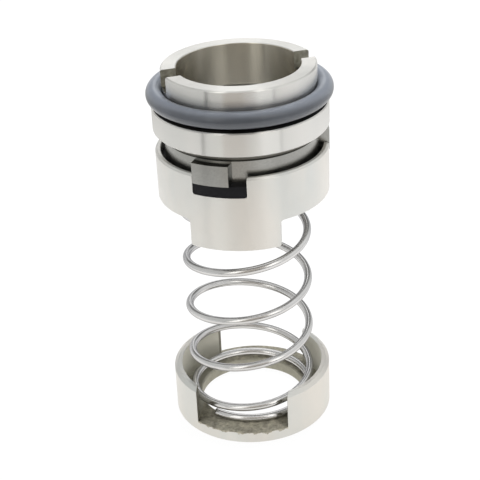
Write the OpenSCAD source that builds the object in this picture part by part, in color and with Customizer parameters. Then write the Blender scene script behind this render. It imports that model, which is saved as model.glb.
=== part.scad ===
// Mechanical seal for a round shaft, free and uncompressed, standing on its drive collar.
// Frame: origin at the centre of the collar's underside, Z up along the shaft, -Y towards the front.
// From below: drive collar, coil spring, driver cup with the rubber ring and the face ring,
// then the stationary seat with its insert and its O-ring.

/* [Shaft] */
// Diameter of the shaft that the seal runs on
shaft_d = 25; // [18:0.5:45]
// Radial room between the shaft and the collar bore
collar_fit = 0.1; // [0.05:0.05:0.3]

/* [Spring] */
// Diameter of the spring wire
wire_d = 1.8; // [1:0.1:2.1]
// Radial room between the shaft and the inside of the coils
spring_gap = 0.65; // [0.5:0.05:2]
// Turns of the whole spring
coil_turns = 6.35; // [5.5:0.05:7.5]
// Turns that lie flat at each end
flat_turns = 0.3; // [0.1:0.05:0.4]
// Turns over which the coil rises to its full pitch
rise_turns = 1.3; // [1.1:0.05:1.5]
// Direction of the lower cut end, turned from the front
wire_end_az = -40; // [-180:1:180]

/* [Drive collar] */
// Height of the collar
collar_h = 11.7; // [9:0.1:16]
// Thickness of the collar base under the coils
collar_base_t = 2.9; // [2:0.1:5]
// Radial room between the coils and the collar wall
coil_room = 1.9; // [1:0.05:4]
// Thickness of the collar wall
collar_wall = 1.9; // [1.4:0.1:3.5]
// Width of the two drive slots
collar_slot_w = 21.5; // [14:0.1:24]
// Direction of the front drive slot
collar_slot_az = -11; // [-90:0.5:90]
// Bevel across the top of the collar wall
collar_bevel = 0.9; // [0.2:0.05:1.2]

/* [Driver cup] */
// Room between the collar rim and the cup when the spring is free
cup_lift = 45.9; // [30:0.1:60]
// Height of the cup without its tongues
cup_h = 10.8; // [9:0.1:16]
// Thickness of the cup wall
cup_wall = 1.2; // [0.8:0.05:2]
// Height of the web over the cup's lower edge
web_rise = 3; // [2:0.1:5]
// Thickness of the web that the spring pushes on
web_t = 1.4; // [1:0.1:2.5]
// Side play between a tongue and its slot
tongue_play = 1.9; // [0.6:0.1:3]
// Length of the two drive tongues
tongue_l = 6.2; // [4:0.1:8]
// Direction of the front tongue, measured from the middle of its slot
tongue_lean = 3; // [0:0.25:3]
// Width of the three windows in the rim
window_w = 12; // [9:0.1:14]
// Depth of the windows
window_d = 4.5; // [3.5:0.1:5.5]
// Direction of the front window, measured from the front tongue
window_shift = -8.8; // [-30:0.1:30]

/* [Face ring and rubber ring] */
// Outer diameter of the face ring
ring_d = 34.2; // [32:0.1:60]
// Height of the face ring up to its shoulder
ring_h = 5.1; // [4.5:0.1:8]
// Height of the sealing nose over the shoulder
nose_h = 0.4; // [0.3:0.1:1.2]
// Radial room between the face ring and the cup wall
ring_room = 0.97; // [0.5:0.01:2]
// Width of the three lugs on the face ring
lug_w = 8.25; // [5:0.05:8.6]
// Height of the lugs
lug_h = 4.7; // [3:0.05:4.8]
// Thickness of the rubber ring
rubber_t = 4.5; // [3.5:0.1:6]

/* [Stationary seat] */
// Outer diameter of the seat spigot
spigot_d = 33.9; // [33:0.1:60]
// Length of the spigot over the flange
spigot_h = 8.2; // [7.6:0.1:14]
// Outer diameter of the seat flange
flange_d = 38.9; // [38:0.1:66]
// Thickness of the seat flange
flange_h = 5.5; // [5:0.1:9]
// Width of the two notches for the housing pins
notch_w = 4.8; // [3:0.1:7]
// Depth of the notches
notch_d = 3.8; // [2:0.1:4]
// Direction of the right-hand notch
notch_az = 105; // [60:1:150]
// Height of the seat insert below the flange
insert_lip = 1.2; // [0.5:0.1:2]
// Thickness of the flange wall round the seat insert
insert_wall = 1.75; // [1:0.05:2.5]
// Thickness of the O-ring cord
cord_d = 3.7; // [2:0.1:4]

/* [Hidden] */
$fn = 96;
shaft_r = shaft_d / 2;

// Chamfers: ordinary edges, fine edges, and the rounded rim of the cup
edge = 0.3;
fine_edge = 0.15;
rim_edge = 0.45;

// Radii of the collar and of the spring
collar_bore_r = shaft_r + collar_fit;
coil_r = shaft_r + spring_gap + wire_d / 2;
collar_in_r = coil_r + wire_d / 2 + coil_room;
collar_r = collar_in_r + collar_wall;

// Radii and heights of the cup
web_gap = 0.7;
ring_r = ring_d / 2;
cup_in_r = ring_r + ring_room;
cup_r = cup_in_r + cup_wall;
cup_z = collar_h + cup_lift;
rim_z = cup_z + cup_h;
web_z = cup_z + web_rise;
web_top_z = web_z + web_t;
web_bore_r = shaft_r + web_gap;
tongue_w = collar_slot_w - tongue_play;
tongue_az = collar_slot_az + tongue_lean;
tongue_z = cup_z - tongue_l;
tongue_tip = 0.5;
tongue_root = 0.8;
window_az = tongue_az + window_shift;
window_z = rim_z - window_d;
window_round = 0.5;

// Radii and heights of the rubber ring, with its sleeve on the shaft and its feet in the windows
rubber_room = 0.2;
sleeve_wall = 1.7;
sleeve_h = 1.7;
foot_sink = 0.1;
rubber_r = cup_in_r - rubber_room;
sleeve_r = shaft_r + sleeve_wall;
rubber_z = web_top_z + rubber_t;
sleeve_z = rubber_z + sleeve_h;

// Radii and heights of the face ring; its lugs rest against the left flank of their windows
ring_gap = 0.5;
sleeve_room = 0.05;
nose_bore_step = 1.3;
nose_rim_step = 0.7;
lug_proud = 0.1;
lug_play = 0.1;
shoulder_z = rubber_z + ring_h;
face_z = shoulder_z + nose_h;
ring_bore_r = shaft_r + ring_gap;
nose_in_r = ring_bore_r + nose_bore_step;
nose_out_r = ring_r - nose_rim_step;
lug_r = cup_r + lug_proud;
lug_az = window_az - asin((window_w / 2 - lug_play) / cup_r) + asin(lug_w / 2 / cup_r);

// Radii and heights of the seat
seat_gap = 1.05;
insert_seat_h = 4;
insert_room = 0.1;
cord_gap = 0.75;
cord_sink = 0.2;
groove_room = 0.05;
flange_r = flange_d / 2;
insert_r = flange_r - insert_wall;
flange_z = face_z + insert_lip;
insert_top_z = flange_z + insert_seat_h;
flange_top_z = flange_z + flange_h;
seat_top_z = flange_top_z + spigot_h;
spigot_r = spigot_d / 2;
seat_bore_r = shaft_r + seat_gap;
insert_bore_r = seat_bore_r + insert_room;
cord_in_r = spigot_r - cord_sink;
cord_z = flange_top_z + cord_gap + cord_d / 2;
groove_top_z = cord_z + cord_d / 2 + groove_room;
notch_z = seat_top_z - notch_d;

// Course of the spring wire: flat, then steeper up to the full pitch, and the same below the web
spring_low_z = collar_base_t + wire_d / 2;
spring_high_z = web_z - wire_d / 2;
fall_start = coil_turns - flat_turns - rise_turns;
full_pitch = (spring_high_z - spring_low_z) / (fall_start - flat_turns);
ring_steps = 36;
wire_sides = 12;

// How far a cutter runs past the piece that it cuts
past = 2;

// Points of a quarter arc in steps of 15 degrees, from angle a0, turning by turn * 90 degrees
function arc(cx, cy, r, a0, turn) = [
    for (i = [0 : 6]) [cx + r * cos(a0 + turn * 15 * i), cy + r * sin(a0 + turn * 15 * i)]
];

// Share of the full pitch after u turns of growing pitch, and the full turns gained by then
function share(u) = min(1, max(0, u / rise_turns));
function gained(u) = u < rise_turns ? share(u) * u / 2 : u - rise_turns / 2;

// Pitch and height of the wire at turn n
function pitch(n) = full_pitch * (share(n - flat_turns) - share(n - fall_start));
function wire_z(n) = spring_low_z + full_pitch * (gained(n - flat_turns) - gained(n - fall_start));

// One point on the wire's skin, at turn n and angle a round the wire
function skin(n, a) = let (
        t = wire_end_az + 360 * n,
        tilt = atan(pitch(n) / (2 * PI * coil_r)),
        rad = coil_r + wire_d / 2 * cos(a),
        up = wire_d / 2 * sin(a)
    ) [
        rad * sin(t) - up * sin(tilt) * cos(t),
        -rad * cos(t) - up * sin(tilt) * sin(t),
        wire_z(n) + up * cos(tilt)
    ];

// Rounded window outline, open at the top, in width x and height y
module window_outline(w, low, high, r) {
    polygon(concat(
        [[w / 2, high], [-w / 2, high]],
        arc(-w / 2 + r, low + r, r, 180, 1),
        arc(w / 2 - r, low + r, r, 270, 1)
    ));
}

// Moves a flat outline into a block that leaves the axis in direction az
module radial(az, length) {
    rotate([0, 0, az])
        rotate([90, 0, 0])
            linear_extrude(height = length)
                children();
}

// Base ring on the shaft and a bevelled wall, milled right through for the two drive slots
module collar() {
    color([0.80, 0.79, 0.76]) difference() {
        rotate_extrude()
            polygon([
                [collar_bore_r + edge, 0],
                [collar_r - edge, 0],
                [collar_r, edge],
                [collar_r, collar_h - collar_bevel * 0.8],
                [collar_r - collar_bevel, collar_h],
                [collar_in_r + fine_edge, collar_h],
                [collar_in_r, collar_h - fine_edge],
                [collar_in_r, collar_base_t],
                [collar_bore_r + edge, collar_base_t],
                [collar_bore_r, collar_base_t - edge],
                [collar_bore_r, edge]
            ]);
        rotate([0, 0, collar_slot_az])
            translate([-collar_slot_w / 2, -collar_r - past, collar_base_t])
                cube([collar_slot_w, 2 * (collar_r + past), collar_h]);
    }
}

// Right-handed wire that lies flat at both ends and is cut square
module spring() {
    steps = ceil(coil_turns * ring_steps);
    sides = wire_sides;
    points = [
        for (i = [0 : steps]) for (j = [0 : sides - 1])
            skin(coil_turns * i / steps, 360 * j / sides)
    ];
    walls = [
        for (i = [0 : steps - 1]) for (j = [0 : sides - 1])
            [for (q = [[0, j], [0, j + 1], [1, j + 1], [1, j]]) (i + q[0]) * sides + q[1] % sides]
    ];
    cap_low = [[for (j = [0 : sides - 1]) sides - 1 - j]];
    cap_top = [[for (j = [0 : sides - 1]) steps * sides + j]];
    color([0.82, 0.82, 0.82])
        polyhedron(points = points, faces = concat(walls, cap_low, cap_top), convexity = 10);
}

// What is cut away beside a tongue, on the side of positive x, with a concave root and a rounded tip
module beside_tongue() {
    polygon(concat(
        [[cup_r + past, tongue_z - past], [cup_r + past, cup_z]],
        arc(tongue_w / 2 + tongue_root, cup_z - tongue_root, tongue_root, 90, 1),
        arc(tongue_w / 2 - tongue_tip, tongue_z + tongue_tip, tongue_tip, 0, -1),
        [[tongue_w / 2 - tongue_tip, tongue_z - past]]
    ));
}

// Turned cup with an inner web and three rim windows, cut away below to leave two drive tongues
module driver_cup() {
    color([0.82, 0.81, 0.78]) difference() {
        rotate_extrude()
            polygon([
                [cup_in_r, tongue_z],
                [cup_r, tongue_z],
                [cup_r, rim_z - rim_edge],
                [cup_r - rim_edge, rim_z],
                [cup_in_r + fine_edge, rim_z],
                [cup_in_r, rim_z - fine_edge],
                [cup_in_r, web_top_z],
                [web_bore_r + fine_edge, web_top_z],
                [web_bore_r, web_top_z - fine_edge],
                [web_bore_r, web_z + fine_edge],
                [web_bore_r + fine_edge, web_z],
                [cup_in_r, web_z]
            ]);
        for (k = [0 : 2])
            radial(window_az + 120 * k, cup_r + past)
                window_outline(window_w, window_z, rim_z + past, window_round);
        for (k = [0 : 1])
            rotate([0, 0, tongue_az + 180 * k])
                translate([0, cup_r + past, 0])
                    rotate([90, 0, 0])
                        linear_extrude(height = 2 * (cup_r + past))
                            beside_tongue();
    }
}

// Rubber ring between web and face ring, with a sleeve on the shaft and three feet in the windows
module rubber_ring() {
    color([0.11, 0.11, 0.12]) union() {
        rotate_extrude()
            polygon([
                [shaft_r + edge, web_top_z],
                [rubber_r - edge, web_top_z],
                [rubber_r, web_top_z + edge],
                [rubber_r, rubber_z],
                [sleeve_r, rubber_z],
                [sleeve_r, sleeve_z - edge],
                [sleeve_r - edge, sleeve_z],
                [shaft_r + edge, sleeve_z],
                [shaft_r, sleeve_z - edge],
                [shaft_r, web_top_z + edge]
            ]);
        for (k = [0 : 2])
            intersection() {
                difference() {
                    translate([0, 0, window_z - past])
                        cylinder(r = cup_r - foot_sink, h = rubber_z - window_z + past);
                    translate([0, 0, window_z - 2 * past])
                        cylinder(r = rubber_r - cup_wall, h = rubber_z - window_z + 3 * past);
                }
                radial(window_az + 120 * k, cup_r + past)
                    window_outline(window_w - foot_sink, window_z + foot_sink / 2, rim_z, window_round);
            }
    }
}

// Hard face ring: lapped nose, shoulder, counterbore for the rubber sleeve and three drive lugs
module face_ring() {
    color([0.50, 0.50, 0.49]) union() {
        rotate_extrude()
            polygon([
                [sleeve_r + sleeve_room, rubber_z],
                [ring_r, rubber_z],
                [ring_r, shoulder_z - fine_edge],
                [ring_r - fine_edge, shoulder_z],
                [nose_out_r, shoulder_z],
                [nose_out_r, face_z],
                [nose_in_r, face_z],
                [nose_in_r, shoulder_z],
                [ring_bore_r + edge, shoulder_z],
                [ring_bore_r, shoulder_z - edge],
                [ring_bore_r, sleeve_z + lug_play],
                [sleeve_r + sleeve_room, sleeve_z + lug_play]
            ]);
        for (k = [0 : 2])
            intersection() {
                difference() {
                    translate([0, 0, rubber_z])
                        cylinder(r = lug_r, h = lug_h);
                    translate([0, 0, rubber_z - past])
                        cylinder(r = ring_r - cup_wall, h = lug_h + 2 * past);
                }
                rotate([0, 0, lug_az + 120 * k])
                    translate([-lug_w / 2, -cup_r - past, rubber_z - past])
                        cube([lug_w, cup_r, lug_h + 2 * past]);
            }
    }
}

// Turned carrier of the stationary face: flange, shallow O-ring groove, spigot and two pin notches
module seat_ring() {
    color([0.78, 0.77, 0.74]) difference() {
        rotate_extrude()
            polygon([
                [insert_r + fine_edge, flange_z],
                [flange_r - edge, flange_z],
                [flange_r, flange_z + edge],
                [flange_r, flange_top_z - edge],
                [flange_r - edge, flange_top_z],
                [cord_in_r, flange_top_z],
                [cord_in_r, groove_top_z],
                [spigot_r, groove_top_z],
                [spigot_r, seat_top_z - edge],
                [spigot_r - edge, seat_top_z],
                [seat_bore_r + fine_edge, seat_top_z],
                [seat_bore_r, seat_top_z - fine_edge],
                [seat_bore_r, insert_top_z],
                [insert_r, insert_top_z],
                [insert_r, flange_z + fine_edge]
            ]);
        rotate([0, 0, notch_az])
            translate([-notch_w / 2, -spigot_r - past, notch_z])
                cube([notch_w, 2 * (spigot_r + past), notch_d + past]);
    }
}

// Hard insert shrunk into the seat; its lower face is the stationary sealing face
module seat_insert() {
    color([0.36, 0.36, 0.35])
        rotate_extrude()
            polygon([
                [insert_bore_r + fine_edge, face_z],
                [insert_r - fine_edge, face_z],
                [insert_r, face_z + fine_edge],
                [insert_r, insert_top_z - edge],
                [insert_r - edge, insert_top_z],
                [insert_bore_r + fine_edge, insert_top_z],
                [insert_bore_r, insert_top_z - fine_edge],
                [insert_bore_r, face_z + fine_edge]
            ]);
}

// O-ring that grips the spigot just above the flange
module seat_o_ring() {
    color([0.46, 0.49, 0.54])
        rotate_extrude()
            translate([cord_in_r + cord_d / 2, cord_z])
                circle(d = cord_d, $fn = 32);
}

collar();
spring();
driver_cup();
rubber_ring();
face_ring();
seat_ring();
seat_insert();
seat_o_ring();
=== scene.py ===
"""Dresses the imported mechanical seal: finishes for its solids, a smooth spring, camera, floor and light."""
import math
from collections import namedtuple

import bpy
from mathutils import Matrix, Vector

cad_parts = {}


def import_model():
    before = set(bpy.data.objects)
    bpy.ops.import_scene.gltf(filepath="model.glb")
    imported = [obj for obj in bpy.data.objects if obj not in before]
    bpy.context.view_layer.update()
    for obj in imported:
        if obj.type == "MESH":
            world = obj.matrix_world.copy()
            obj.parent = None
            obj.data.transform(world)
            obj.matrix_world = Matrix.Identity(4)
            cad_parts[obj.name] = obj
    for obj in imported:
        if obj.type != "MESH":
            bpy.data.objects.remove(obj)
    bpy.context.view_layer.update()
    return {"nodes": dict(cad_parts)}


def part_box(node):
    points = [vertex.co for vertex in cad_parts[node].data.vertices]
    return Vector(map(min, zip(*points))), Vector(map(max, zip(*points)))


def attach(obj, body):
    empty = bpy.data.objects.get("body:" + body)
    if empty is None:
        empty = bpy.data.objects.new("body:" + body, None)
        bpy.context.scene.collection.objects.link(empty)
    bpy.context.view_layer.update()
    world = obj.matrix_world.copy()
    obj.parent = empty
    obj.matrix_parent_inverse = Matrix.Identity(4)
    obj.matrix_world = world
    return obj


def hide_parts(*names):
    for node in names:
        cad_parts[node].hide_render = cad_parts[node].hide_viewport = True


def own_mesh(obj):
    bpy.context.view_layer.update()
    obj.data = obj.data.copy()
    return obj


MM = 0.001
WHITE = (1.0, 1.0, 1.0)

# Driving sizes in millimetres, turns and degrees, the same as in the part
SHAFT_D = 25.0
WIRE_D = 1.8
SPRING_GAP = 0.65
COIL_TURNS = 6.35
FLAT_TURNS = 0.3
RISE_TURNS = 1.3
WIRE_END_AZ = -40.0
COLLAR_BASE_T = 2.9
COIL_ROOM = 1.9
COLLAR_WALL = 1.9
COLLAR_SLOT_W = 21.5
COLLAR_SLOT_AZ = -11.0
SEAT_GAP = 1.05
INSERT_ROOM = 0.1
SPIGOT_H = 8.2
NOTCH_W = 4.8
NOTCH_D = 3.8
NOTCH_AZ = 105.0
EDGE = 0.3

# Sizes that follow from them
COIL_R = SHAFT_D / 2 + SPRING_GAP + WIRE_D / 2
FALL_START = COIL_TURNS - FLAT_TURNS - RISE_TURNS
COLLAR_IN_R = COIL_R + WIRE_D / 2 + COIL_ROOM
COLLAR_R = COLLAR_IN_R + COLLAR_WALL
SEAT_BORE_R = SHAFT_D / 2 + SEAT_GAP
INSERT_BORE_R = SEAT_BORE_R + INSERT_ROOM

# Fineness of the spring's mesh
WIRE_STEPS_PER_TURN = 240
WIRE_SIDES = 40

# How far the masks reach past the faces that they find, in millimetres, and bounds clear of the part
WALL_MARGIN = 0.05
CUT_MARGIN = 0.04
BELOW = -1.0
ABOVE = 1000.0

# Ledge under the O-ring, darkened as painted shade: its radii, and how high the painted shade reaches on the
# groove's wall
LEDGE_RADII = (16.6, 19.2)
LEDGE_SHADE = 0.9

# Torn lower edge of the collar's slots: how far it hangs down, how far in from the outer wall it starts,
# and how far over the slot's floor the flanks' own tone begins, in millimetres
BURR_DROP = 0.9
BURR_DEPTH = 0.1
FLANK_CLEAR = 0.3

# Steels in linear colour: cool and warm tone, painted highlight on the edges, roughness, glint across tool
# marks, relief
SATIN = {
    "cool": (0.675, 0.685, 0.675),
    "warm": (0.75, 0.73, 0.70),
    "edge_highlight": (0.9, 0.9, 0.89),
    "rough": 0.38,
    "anisotropic": 0.8,
    "relief": 0.03,
}
POLISHED = {
    "cool": (0.68, 0.68, 0.67),
    "warm": (0.72, 0.71, 0.695),
    "edge_highlight": (0.88, 0.88, 0.87),
    "rough": 0.24,
    "anisotropic": 1.0,
    "relief": 0.004,
}

# Stretch of the stains along the axis, and the width of the rounded edges and of their painted highlight in
# millimetres
STAIN_STRETCH = (1, 1, 0.3)
EDGE_ROUND_AND_HIGHLIGHT = 0.12

# Camera as fitted to the photograph, in degrees, millimetres and pixels; its near and far ends in metres
CAM_ELEVATION = 27.83
CAM_DISTANCE = 285.1
CAM_ROLL = -2.79
CAM_TARGET = (-1.49, 0.0, 43.98)
CAM_FOCAL_PX = 1234.0
CAM_NEAR = 0.01
CAM_FAR = 20.0
IMAGE_PX = 480
SENSOR_MM = 36.0

# Studio: what metal mirrors on the floor, by direction (0.25 is the front, larger to the right)
FLOOR_BANDS = [
    (0.0, (1.32, 1.31, 1.29)),
    (0.107, (1.3, 1.29, 1.27)),
    (0.111, (0.35, 0.35, 0.34)),
    (0.119, (0.35, 0.35, 0.34)),
    (0.123, (1.18, 1.17, 1.15)),
    (0.179, (1.16, 1.15, 1.11)),
    (0.187, (0.93, 0.865, 0.795)),
    (0.255, (0.93, 0.865, 0.795)),
    (0.32, (1.22, 1.21, 1.19)),
    (0.378, (1.2, 1.19, 1.17)),
    (0.382, (0.7, 0.69, 0.67)),
    (0.388, (0.7, 0.69, 0.67)),
    (0.392, (1.18, 1.17, 1.15)),
    (0.5, (1.25, 1.24, 1.22)),
    (1.0, (1.32, 1.31, 1.29)),
]

# The same at the floor's far end
END_BANDS = [
    (0.0, (0.56, 0.56, 0.53)),
    (0.107, (0.54, 0.54, 0.51)),
    (0.111, (0.12, 0.12, 0.11)),
    (0.119, (0.12, 0.12, 0.11)),
    (0.123, (0.4, 0.4, 0.38)),
    (0.179, (0.4, 0.39, 0.36)),
    (0.187, (0.48, 0.43, 0.37)),
    (0.25, (0.48, 0.43, 0.37)),
    (0.325, (1.02, 1.01, 0.98)),
    (0.376, (1.02, 1.01, 0.98)),
    (0.382, (0.6, 0.59, 0.57)),
    (0.388, (0.6, 0.59, 0.57)),
    (0.394, (0.85, 0.84, 0.81)),
    (0.5, (0.95, 0.94, 0.92)),
    (1.0, (0.56, 0.56, 0.53)),
]

# Floor round the foot and near it, and the distances in metres over which one tone gives way to the next
FLOOR_FOOT = (1.06, 1.03, 0.97)
FLOOR_NEAR = (1.23, 1.215, 1.18)
FOOT_TO_NEAR = (0.04, 0.115)
NEAR_TO_BANDS = (0.135, 0.165)
BANDS_TO_END = (0.166, 0.188)

# Studio: what metal mirrors low down, on the walls and overhead, with the heights of the changes
LOW_BANDS = [
    (0.0, (0.9, 0.9, 0.88)),
    (0.107, (0.9, 0.9, 0.88)),
    (0.111, (0.2, 0.19, 0.17)),
    (0.119, (0.2, 0.19, 0.17)),
    (0.123, (1.0, 0.98, 0.92)),
    (0.179, (1.0, 0.98, 0.92)),
    (0.187, (0.4, 0.38, 0.34)),
    (0.27, (0.34, 0.32, 0.29)),
    (0.28, (0.1, 0.1, 0.1)),
    (0.36, (0.1, 0.1, 0.1)),
    (0.392, (0.8, 0.78, 0.75)),
    (0.6, (0.9, 0.9, 0.88)),
]
WALL_BANDS = [
    (0.0, (0.7, 0.7, 0.67)),
    (0.107, (0.7, 0.7, 0.67)),
    (0.111, (0.15, 0.15, 0.14)),
    (0.119, (0.15, 0.15, 0.14)),
    (0.123, (1.9, 1.86, 1.75)),
    (0.179, (1.9, 1.86, 1.75)),
    (0.187, (0.55, 0.51, 0.45)),
    (0.313, (0.55, 0.51, 0.45)),
    (0.321, (2.0, 1.95, 1.84)),
    (0.37, (1.9, 1.86, 1.75)),
    (0.4, (0.75, 0.75, 0.72)),
    (0.46, (0.96, 0.96, 0.93)),
    (0.6, (0.96, 0.96, 0.93)),
    (0.66, (0.2, 0.2, 0.19)),
    (0.722, (0.2, 0.2, 0.19)),
    (0.737, (1.5, 1.49, 1.45)),
    (0.763, (1.5, 1.49, 1.45)),
    (0.778, (0.2, 0.2, 0.19)),
    (0.84, (0.2, 0.2, 0.19)),
    (0.9, (0.8, 0.8, 0.77)),
    (1.0, (0.7, 0.7, 0.67)),
]
CEILING = (1.0, 1.0, 0.98)
LOW_TO_WALL = (0.2, 0.28)
WALL_TO_CEILING = (0.8, 0.92)

# Studio: light on dull surfaces, weak from the front where the camera stands
FILL_BANDS = [
    (0.0, (0.9, 0.9, 0.9)),
    (0.08, (0.6, 0.6, 0.6)),
    (0.16, (0.03, 0.03, 0.03)),
    (0.34, (0.03, 0.03, 0.03)),
    (0.42, (0.6, 0.6, 0.6)),
    (0.5, (0.9, 0.9, 0.9)),
]
FILL_TO_TOP = (0.8, 0.92)

# Floor: half its side in metres, its drop under the part in millimetres, its share of plain white,
# its grey, and the grey of the light that it throws back
FLOOR_HALF = 1.5
FLOOR_DROP = 0.02
FLOOR_SHARE = 0.97
FLOOR_GREY = (0.95, 0.95, 0.95)
FLOOR_RETURN = (0.5, 0.5, 0.5)

# Lamps: place, aim and side in millimetres, and power in watts
LAMPS = {
    "left": ((-550, 150, 750), (0, 0, 45), 700, 3.0),
    "right": ((550, 150, 750), (0, 0, 45), 700, 3.0),
    "key": ((110, 450, 850), (0, 0, 80), 400, 21.0),
}

# A place on a steel piece: its mask, tone and roughness, and how far its torn grain strays from the tone
Place = namedtuple("Place", "mask tone rough stray")


def node(tree, kind, inputs=None, **settings):
    """Adds a shader node with its settings; each input takes a socket or a plain value."""
    n = tree.nodes.new(kind)
    for name, value in settings.items():
        setattr(n, name, value)
    for name, value in (inputs or {}).items():
        if isinstance(value, bpy.types.NodeSocket):
            tree.links.new(value, n.inputs[name])
        else:
            n.inputs[name].default_value = value
    return n


def new_tree(owner):
    """Empty node tree of a new material or world."""
    owner.use_nodes = True
    owner.node_tree.nodes.clear()
    return owner.node_tree


def surface(name):
    """A new material, its node tree, and the socket of the object's own coordinates."""
    m = bpy.data.materials.new(name)
    tree = new_tree(m)
    return m, tree, node(tree, "ShaderNodeTexCoord").outputs["Object"]


def principled(tree, inputs):
    """Puts a Principled shader with the given inputs on the surface."""
    shader = node(tree, "ShaderNodeBsdfPrincipled", inputs)
    node(tree, "ShaderNodeOutputMaterial", {"Surface": shader.outputs["BSDF"]})


def calc(tree, operation, a, b=0.0):
    """Result of a maths node on two values, each a socket or a number."""
    return node(tree, "ShaderNodeMath", {0: a, 1: b}, operation=operation).outputs[0]


def remap(tree, value, span, onto=(0.0, 1.0)):
    """A value carried over from one span to another."""
    ends = {"From Min": span[0], "From Max": span[1], "To Min": onto[0], "To Max": onto[1]}
    return node(tree, "ShaderNodeMapRange", {"Value": value, **ends}).outputs["Result"]


def ramp(tree, value, stops):
    """Colour by value, from a ramp with the given (position, colour) stops."""
    n = node(tree, "ShaderNodeValToRGB", {"Fac": value})
    elements = n.color_ramp.elements
    while len(elements) > 1:
        elements.remove(elements[-1])
    elements[0].position = stops[0][0]
    elements[0].color = (*stops[0][1], 1)
    for position, colour in stops[1:]:
        elements.new(position).color = (*colour, 1)
    return n.outputs["Color"]


def blend_colour(tree, amount, low, high):
    """Colour low where the amount is 0 and high where it is 1, each a socket or a plain colour."""
    inputs = {0: amount}
    for index, colour in ((6, low), (7, high)):
        inputs[index] = (*colour, 1) if isinstance(colour, tuple) else colour
    return node(tree, "ShaderNodeMix", inputs, data_type="RGBA").outputs[2]


def change_over(tree, value, span, low, high):
    """Colour low below a span of values and high above it."""
    return blend_colour(tree, remap(tree, value, span), low, high)


def scaled(tree, place, factors):
    """Coordinates multiplied by a factor along each axis."""
    return node(tree, "ShaderNodeVectorMath", {0: place, 1: factors}, operation="MULTIPLY").outputs[0]


def noise(tree, place, scale, detail, roughness):
    """Value of a noise texture at the given coordinates."""
    inputs = {"Vector": place, "Scale": scale, "Detail": detail, "Roughness": roughness}
    return node(tree, "ShaderNodeTexNoise", inputs).outputs["Fac"]


def bump(tree, height, strength, depth, normal=None):
    """Normal of a relief so many millimetres deep, on the piece's own normal unless one is given."""
    inputs = {"Height": height, "Strength": strength, "Distance": depth * MM}
    if normal is not None:
        inputs["Normal"] = normal
    return node(tree, "ShaderNodeBump", inputs).outputs["Normal"]


def edges_rounded_and_highlighted(tree):
    """Soft normal along the edges, and a mask for their painted highlight that is 1 on them and 0 on open
    faces.
    """
    soft = node(tree, "ShaderNodeBevel", {"Radius": EDGE_ROUND_AND_HIGHLIGHT * MM}, samples=6).outputs["Normal"]
    face = node(tree, "ShaderNodeNewGeometry").outputs["Normal"]
    dot = node(tree, "ShaderNodeVectorMath", {0: soft, 1: face}, operation="DOT_PRODUCT")
    return soft, remap(tree, dot.outputs["Value"], (0.999, 0.9))


def radius_and_height(tree, place):
    """Distance from the axis and height of the shaded point, both as sockets in metres."""
    flat = scaled(tree, place, (1, 1, 0))
    radius = node(tree, "ShaderNodeVectorMath", {0: flat}, operation="LENGTH").outputs["Value"]
    height = node(tree, "ShaderNodeSeparateXYZ", {"Vector": place}).outputs["Z"]
    return radius, height


def between(tree, value, low, high):
    """Mask that is 1 where a value in metres lies between two bounds in millimetres."""
    over = calc(tree, "GREATER_THAN", value, low * MM)
    under = calc(tree, "LESS_THAN", value, high * MM)
    return calc(tree, "MULTIPLY", over, under)


def in_ring(tree, place, radii=(BELOW, ABOVE), heights=(BELOW, ABOVE)):
    """Mask of the faces between two radii and between two heights, in millimetres."""
    radius, height = radius_and_height(tree, place)
    return calc(tree, "MULTIPLY", between(tree, radius, *radii), between(tree, height, *heights))


def in_cut(tree, place, az, width, floor_z, ragged=0.0):
    """Mask of the floor and flanks of a slot cut right through the piece at a direction.

    On the collar's outer wall the mask's lower edge is ragged by so many millimetres, as a burr is.
    """
    turn = {"Vector": place, "Angle": -math.radians(az)}
    turned = node(tree, "ShaderNodeVectorRotate", turn, rotation_type="Z_AXIS").outputs["Vector"]
    split = node(tree, "ShaderNodeSeparateXYZ", {"Vector": turned})
    aside = calc(tree, "ABSOLUTE", split.outputs["X"])
    inside = calc(tree, "LESS_THAN", aside, (width / 2 + CUT_MARGIN) * MM)
    edge = (floor_z - CUT_MARGIN) * MM
    if ragged:
        outer = in_ring(tree, place, radii=(COLLAR_R - BURR_DEPTH, ABOVE))
        burr = noise(tree, place, scale=420.0, detail=4.0, roughness=0.75)
        drop = remap(tree, burr, (0.42, 0.68), (0.0, ragged * MM))
        edge = calc(tree, "SUBTRACT", edge, calc(tree, "MULTIPLY", outer, drop))
    over = calc(tree, "GREATER_THAN", split.outputs["Z"], edge)
    return calc(tree, "MULTIPLY", inside, over)


def top_of(name):
    """Height of a CAD node's highest point, in millimetres."""
    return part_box(name)[1][2] / MM


def collar_wall_inside(tree, place):
    """The collar's wall above its base, seen from inside."""
    return in_ring(tree, place, (BELOW, COLLAR_IN_R + WALL_MARGIN), (COLLAR_BASE_T + WALL_MARGIN, ABOVE))


def collar_base(tree, place):
    """The collar's base and its bore, darker as a milled tone and as painted shade under the coils."""
    return in_ring(tree, place, (BELOW, COLLAR_IN_R + WALL_MARGIN), (BELOW, COLLAR_BASE_T + WALL_MARGIN))


def collar_slot(tree, place):
    """Floor and flanks of the collar's slots, with the burr under them."""
    return in_cut(tree, place, COLLAR_SLOT_AZ, COLLAR_SLOT_W, COLLAR_BASE_T, BURR_DROP)


def collar_flanks(tree, place):
    """Flanks of the collar's slots, clear of the slots' floor."""
    return in_cut(tree, place, COLLAR_SLOT_AZ, COLLAR_SLOT_W, COLLAR_BASE_T + FLANK_CLEAR)


def seat_bore(tree, place):
    """The bore of the seat ring."""
    return in_ring(tree, place, (BELOW, SEAT_BORE_R + WALL_MARGIN))


def seat_notches(tree, place):
    """Floor and flanks of the two pin notches."""
    return in_cut(tree, place, NOTCH_AZ, NOTCH_W, top_of("seat_ring") - NOTCH_D)


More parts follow.
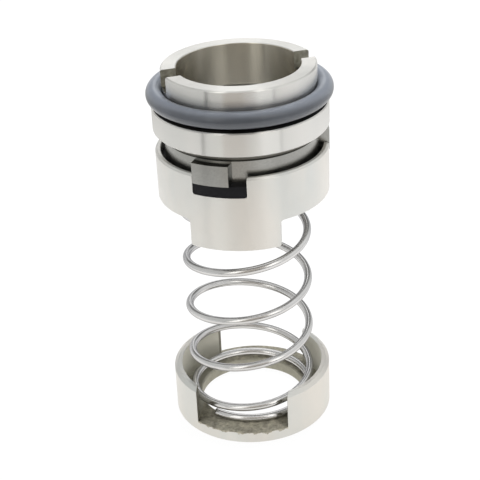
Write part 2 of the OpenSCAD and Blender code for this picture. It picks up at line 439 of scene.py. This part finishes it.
def o_ring_painted_shade(tree, place):
    """The flange's ledge and the foot of the groove, where the O-ring's shade is painted."""
    ledge_z = top_of("seat_ring") - SPIGOT_H
    return in_ring(tree, place, LEDGE_RADII, (ledge_z - WALL_MARGIN, ledge_z + LEDGE_SHADE))


def insert_bore_lightened(tree, place):
    """The bore of the seat insert, with its chamfers, where a lighter tone is painted light over the dark
    line at its top.
    """
    return in_ring(tree, place, (BELOW, INSERT_BORE_R + EDGE))


def turned_steel(name, steel, places=()):
    """Turned stainless steel: glints across faint tool rings, soft stains, rounded edges with a painted
    highlight.
    """
    m, tree, place = surface(name)
    soft, edges = edges_rounded_and_highlighted(tree)
    rough = steel["rough"]

    stains = noise(tree, scaled(tree, place, STAIN_STRETCH), scale=95.0, detail=3.0, roughness=0.55)
    tint = ramp(tree, stains, [(0.36, steel["cool"]), (0.66, steel["warm"])])
    # Edges take a lighter colour: a painted highlight.
    colour = blend_colour(tree, edges, tint, steel["edge_highlight"])
    wear = noise(tree, place, scale=420.0, detail=3.0, roughness=0.6)
    dull = remap(tree, wear, (0.3, 0.7), (rough * 0.95, rough * 1.05))

    torn = noise(tree, place, scale=900.0, detail=4.0, roughness=0.7)
    grain = remap(tree, torn, (0.35, 0.65))
    for spot in places:
        mask = spot.mask(tree, place)
        darker = tuple(c * (1 - spot.stray) for c in spot.tone)
        lighter = tuple(c * (1 + spot.stray) for c in spot.tone)
        colour = blend_colour(tree, mask, colour, blend_colour(tree, grain, darker, lighter))
        dull = calc(tree, "ADD", dull, calc(tree, "MULTIPLY", mask, spot.rough - rough))

    radius, height = radius_and_height(tree, place)
    profile = node(tree, "ShaderNodeCombineXYZ", {"X": radius, "Z": height}).outputs["Vector"]
    rings = noise(tree, profile, scale=3000.0, detail=2.0, roughness=0.5)
    tangent = node(tree, "ShaderNodeTangent", direction_type="RADIAL", axis="Z")
    principled(tree, {
        "Base Color": colour,
        "Metallic": 1.0,
        "Roughness": dull,
        "Anisotropic": steel["anisotropic"],
        "Anisotropic Rotation": 0.25,
        "Tangent": tangent.outputs["Tangent"],
        "Normal": bump(tree, rings, steel["relief"], depth=0.02, normal=soft),
    })
    return m


def drawn_wire():
    """Bright drawn stainless wire, a little uneven in tone and gloss."""
    m, tree, place = surface("drawn_wire")
    uneven = noise(tree, place, scale=120.0, detail=1.0, roughness=0.5)
    principled(tree, {
        "Base Color": ramp(tree, uneven, [(0.35, (0.62, 0.62, 0.63)), (0.65, (0.68, 0.68, 0.69))]),
        "Metallic": 1.0,
        "Roughness": remap(tree, uneven, (0.3, 0.7), (0.2, 0.24)),
        "Specular Tint": (0.5, 0.5, 0.52, 1),
    })
    return m


def rubber(name, dark, light, rough, gloss):
    """Moulded rubber: two close tones, a fine skin and a soft sheen."""
    m, tree, place = surface(name)
    cloud = noise(tree, place, scale=240.0, detail=4.0, roughness=0.6)
    skin = noise(tree, place, scale=3500.0, detail=3.0, roughness=0.6)
    principled(tree, {
        "Base Color": ramp(tree, cloud, [(0.35, dark), (0.65, light)]),
        "Roughness": rough,
        "Specular IOR Level": gloss,
        "Normal": bump(tree, skin, strength=0.15, depth=0.03),
    })
    return m


def carbide(name, dark, light, rough, bore=None, lightened_bore_tone=None):
    """Ground hard carbide: an even grey with fine grain and a dull gloss; a bore may have its own lighter
    tone, which is painted light.
    """
    m, tree, place = surface(name)
    grain = noise(tree, place, scale=2600.0, detail=5.0, roughness=0.7)
    colour = ramp(tree, grain, [(0.3, dark), (0.7, light)])
    if bore:
        colour = blend_colour(tree, bore(tree, place), colour, lightened_bore_tone)
    principled(tree, {
        "Base Color": colour,
        "Metallic": 1.0,
        "Roughness": rough,
        "Normal": bump(tree, grain, strength=0.12, depth=0.03),
    })
    return m


def share(u):
    """Share of the full pitch after u turns of growing pitch."""
    return min(1.0, max(0.0, u / RISE_TURNS))


def gained(u):
    """Full turns gained after u turns of growing pitch."""
    if u < RISE_TURNS:
        return share(u) * u / 2
    return u - RISE_TURNS / 2


def wire_ring(n, low, full_pitch):
    """Points of the wire's round section after n turns, in metres.

    The wire's centre starts at the height low, and both low and the full pitch are in millimetres.
    """
    az = math.radians(WIRE_END_AZ + 360 * n)
    z = low + full_pitch * (gained(n - FLAT_TURNS) - gained(n - FALL_START))
    pitch = full_pitch * (share(n - FLAT_TURNS) - share(n - FALL_START))
    tilt = math.atan(pitch / (2 * math.pi * COIL_R))
    points = []
    for j in range(WIRE_SIDES):
        a = 2 * math.pi * j / WIRE_SIDES
        rad = COIL_R + WIRE_D / 2 * math.cos(a)
        up = WIRE_D / 2 * math.sin(a)
        x = rad * math.sin(az) - up * math.sin(tilt) * math.cos(az)
        y = -rad * math.cos(az) - up * math.sin(tilt) * math.sin(az)
        points.append((x * MM, y * MM, (z + up * math.cos(tilt)) * MM))
    return points


def spring_mesh():
    """Round wire swept along the coil, with square cut ends, in metres."""
    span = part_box("spring")
    low = span[0][2] / MM + WIRE_D / 2
    high = span[1][2] / MM - WIRE_D / 2
    full_pitch = (high - low) / (FALL_START - FLAT_TURNS)
    steps = round(COIL_TURNS * WIRE_STEPS_PER_TURN)
    points = []
    for i in range(steps + 1):
        points += wire_ring(COIL_TURNS * i / steps, low, full_pitch)
    faces = []
    for i in range(steps):
        here = i * WIRE_SIDES
        there = here + WIRE_SIDES
        for j in range(WIRE_SIDES):
            k = (j + 1) % WIRE_SIDES
            faces.append((here + j, here + k, there + k, there + j))
    faces.append(tuple(reversed(range(WIRE_SIDES))))
    faces.append(tuple(range(steps * WIRE_SIDES, (steps + 1) * WIRE_SIDES)))
    mesh = bpy.data.meshes.new("spring_wire")
    mesh.from_pydata(points, [], faces)
    mesh.polygons.foreach_set("use_smooth", [len(p.vertices) == 4 for p in mesh.polygons])
    mesh.update()
    return mesh


def make_spring(finish):
    """The smooth spring, in place of the faceted solid, attached to the drive end."""
    piece = bpy.data.objects.new("spring_wire", spring_mesh())
    bpy.context.scene.collection.objects.link(piece)
    piece.data.materials.append(finish)
    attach(piece, "drive_end")
    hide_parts("spring")
    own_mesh(piece)


def dress(obj, finish):
    """Gives a CAD node's object its finish."""
    if not obj.material_slots:
        obj.data.materials.append(finish)
    for s in obj.material_slots:
        s.link = "OBJECT"
        s.material = finish


def camera():
    """The photograph's camera: elevation, distance, roll and lens as fitted to its outlines."""
    e = math.radians(CAM_ELEVATION)
    roll = math.radians(CAM_ROLL)
    back = Vector((0, -math.cos(e), math.sin(e)))
    level = Vector((1, 0, 0))
    upright = back.cross(level)
    right = level * math.cos(roll) + upright * math.sin(roll)
    up = upright * math.cos(roll) - level * math.sin(roll)
    place = Vector(CAM_TARGET) * MM + back * CAM_DISTANCE * MM
    data = bpy.data.cameras.new("camera")
    data.sensor_width = SENSOR_MM
    data.lens = CAM_FOCAL_PX * SENSOR_MM / IMAGE_PX
    data.clip_start = CAM_NEAR
    data.clip_end = CAM_FAR
    cam = bpy.data.objects.new("camera", data)
    cam.matrix_world = Matrix((
        (right.x, up.x, back.x, place.x),
        (right.y, up.y, back.y, place.y),
        (right.z, up.z, back.z, place.z),
        (0, 0, 0, 1),
    ))
    bpy.context.scene.collection.objects.link(cam)
    bpy.context.scene.camera = cam


def lamp(name, place, target, side, power):
    """A soft square lamp at place, aimed at target, all in millimetres; metal doesn't mirror it."""
    data = bpy.data.lights.new(name, "AREA")
    data.shape = "SQUARE"
    data.size = side * MM
    data.energy = power
    obj = bpy.data.objects.new(name, data)
    obj.location = Vector(place) * MM
    aim = Vector(target) * MM - obj.location
    obj.rotation_euler = aim.to_track_quat("-Z", "Y").to_euler()
    obj.visible_glossy = False
    bpy.context.scene.collection.objects.link(obj)


def direction(tree, place):
    """Direction round the axis, from 0 to 1."""
    return node(tree, "ShaderNodeTexGradient", {"Vector": place}, gradient_type="RADIAL").outputs["Fac"]


def seen_as_white(tree, path):
    """Mask of the rays that see the background as plain white: the camera's, and those through glass."""
    return calc(tree, "MAXIMUM", path.outputs["Is Camera Ray"], path.outputs["Is Transmission Ray"])


def floor():
    """A pale floor that reads white where it is lit and keeps the shadow."""
    h = FLOOR_HALF
    mesh = bpy.data.meshes.new("floor")
    mesh.from_pydata([(-h, -h, 0), (h, -h, 0), (h, h, 0), (-h, h, 0)], [], [(0, 1, 2, 3)])
    obj = bpy.data.objects.new("floor", mesh)
    obj.location.z = -FLOOR_DROP * MM
    bpy.context.scene.collection.objects.link(obj)

    m, tree, place = surface("floor_paper")
    turn = direction(tree, place)
    away = node(tree, "ShaderNodeVectorMath", {0: place}, operation="LENGTH").outputs["Value"]
    near = change_over(tree, away, FOOT_TO_NEAR, FLOOR_FOOT, FLOOR_NEAR)
    bands = change_over(tree, away, NEAR_TO_BANDS, near, ramp(tree, turn, FLOOR_BANDS))
    bands = change_over(tree, away, BANDS_TO_END, bands, ramp(tree, turn, END_BANDS))

    path = node(tree, "ShaderNodeLightPath")
    mirrored = path.outputs["Is Glossy Ray"]
    seen = calc(tree, "MAXIMUM", seen_as_white(tree, path), mirrored)
    tone = blend_colour(tree, path.outputs["Is Diffuse Ray"], FLOOR_GREY, FLOOR_RETURN)
    shown = blend_colour(tree, mirrored, WHITE, bands)
    paper = node(tree, "ShaderNodeBsdfDiffuse", {"Color": tone})
    white = node(tree, "ShaderNodeEmission", {"Color": shown, "Strength": 1.0})
    mix = node(tree, "ShaderNodeMixShader", {
        "Fac": calc(tree, "MULTIPLY", seen, FLOOR_SHARE),
        1: paper.outputs["BSDF"],
        2: white.outputs["Emission"],
    })
    node(tree, "ShaderNodeOutputMaterial", {"Surface": mix.outputs["Shader"]})
    mesh.materials.append(m)


def world():
    """White studio: plain white to the camera, banded in metal, weak from the front on dull surfaces."""
    w = bpy.data.worlds.new("studio")
    bpy.context.scene.world = w
    tree = new_tree(w)
    place = node(tree, "ShaderNodeTexCoord").outputs["Generated"]
    height = node(tree, "ShaderNodeSeparateXYZ", {"Vector": place}).outputs["Z"]
    turn = direction(tree, place)
    low = ramp(tree, turn, LOW_BANDS)
    walls = ramp(tree, turn, WALL_BANDS)
    mirrored = change_over(tree, height, LOW_TO_WALL, low, walls)
    mirrored = change_over(tree, height, WALL_TO_CEILING, mirrored, CEILING)
    fill = change_over(tree, height, FILL_TO_TOP, ramp(tree, turn, FILL_BANDS), WHITE)
    path = node(tree, "ShaderNodeLightPath")
    pick = blend_colour(tree, path.outputs["Is Glossy Ray"], fill, mirrored)
    pick = blend_colour(tree, seen_as_white(tree, path), pick, WHITE)
    light = node(tree, "ShaderNodeBackground", {"Color": pick, "Strength": 1.0})
    node(tree, "ShaderNodeOutputWorld", {"Surface": light.outputs["Background"]})


def finishes():
    """The finish of each CAD node that stays visible."""
    collar_places = [
        Place(collar_wall_inside, tone=(0.72, 0.71, 0.64), rough=0.5, stray=0.0),
        # The base is darker: partly a milled tone, partly painted shade under the coils.
        Place(collar_base, tone=(0.42, 0.41, 0.35), rough=0.5, stray=0.1),
        Place(collar_slot, tone=(0.46, 0.44, 0.37), rough=0.55, stray=0.32),
        Place(collar_flanks, tone=(0.23, 0.22, 0.18), rough=0.7, stray=0.3),
    ]
    seat_places = [
        Place(seat_bore, tone=(0.74, 0.71, 0.63), rough=0.26, stray=0.0),
        Place(seat_notches, tone=(0.34, 0.33, 0.28), rough=0.5, stray=0.3),
        # Near black under the O-ring: painted shade.
        Place(o_ring_painted_shade, tone=(0.03, 0.03, 0.03), rough=0.5, stray=0.0),
    ]
    # The insert's bore and chamfers are lighter than its body: painted light over the dark line at the gap.
    insert = carbide(
        "insert_carbide", dark=(0.10, 0.098, 0.085), light=(0.14, 0.135, 0.12), rough=0.35,
        bore=insert_bore_lightened, lightened_bore_tone=(0.6, 0.58, 0.52))
    ring = carbide("ring_carbide", dark=(0.29, 0.29, 0.28), light=(0.355, 0.355, 0.34), rough=0.27)
    black = rubber(
        "black_rubber", dark=(0.010, 0.010, 0.012), light=(0.015, 0.015, 0.018), rough=0.5, gloss=0.12)
    grey = rubber(
        "grey_rubber", dark=(0.08, 0.088, 0.104), light=(0.094, 0.104, 0.122), rough=0.32, gloss=0.6)
    return {
        "collar": turned_steel("collar_steel", SATIN, collar_places),
        "driver_cup": turned_steel("satin_steel", SATIN),
        "seat_ring": turned_steel("polished_steel", POLISHED, seat_places),
        "seat_insert": insert,
        "face_ring": ring,
        "rubber_ring": black,
        "seat_o_ring": grey,
    }


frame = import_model()

camera()
for node_name, finish in finishes().items():
    dress(frame["nodes"][node_name], finish)
make_spring(drawn_wire())
floor()
world()
for lamp_name, (lamp_place, aim, side, power) in LAMPS.items():
    lamp(lamp_name, lamp_place, aim, side, power)

bpy.context.scene.view_settings.view_transform = "Standard"
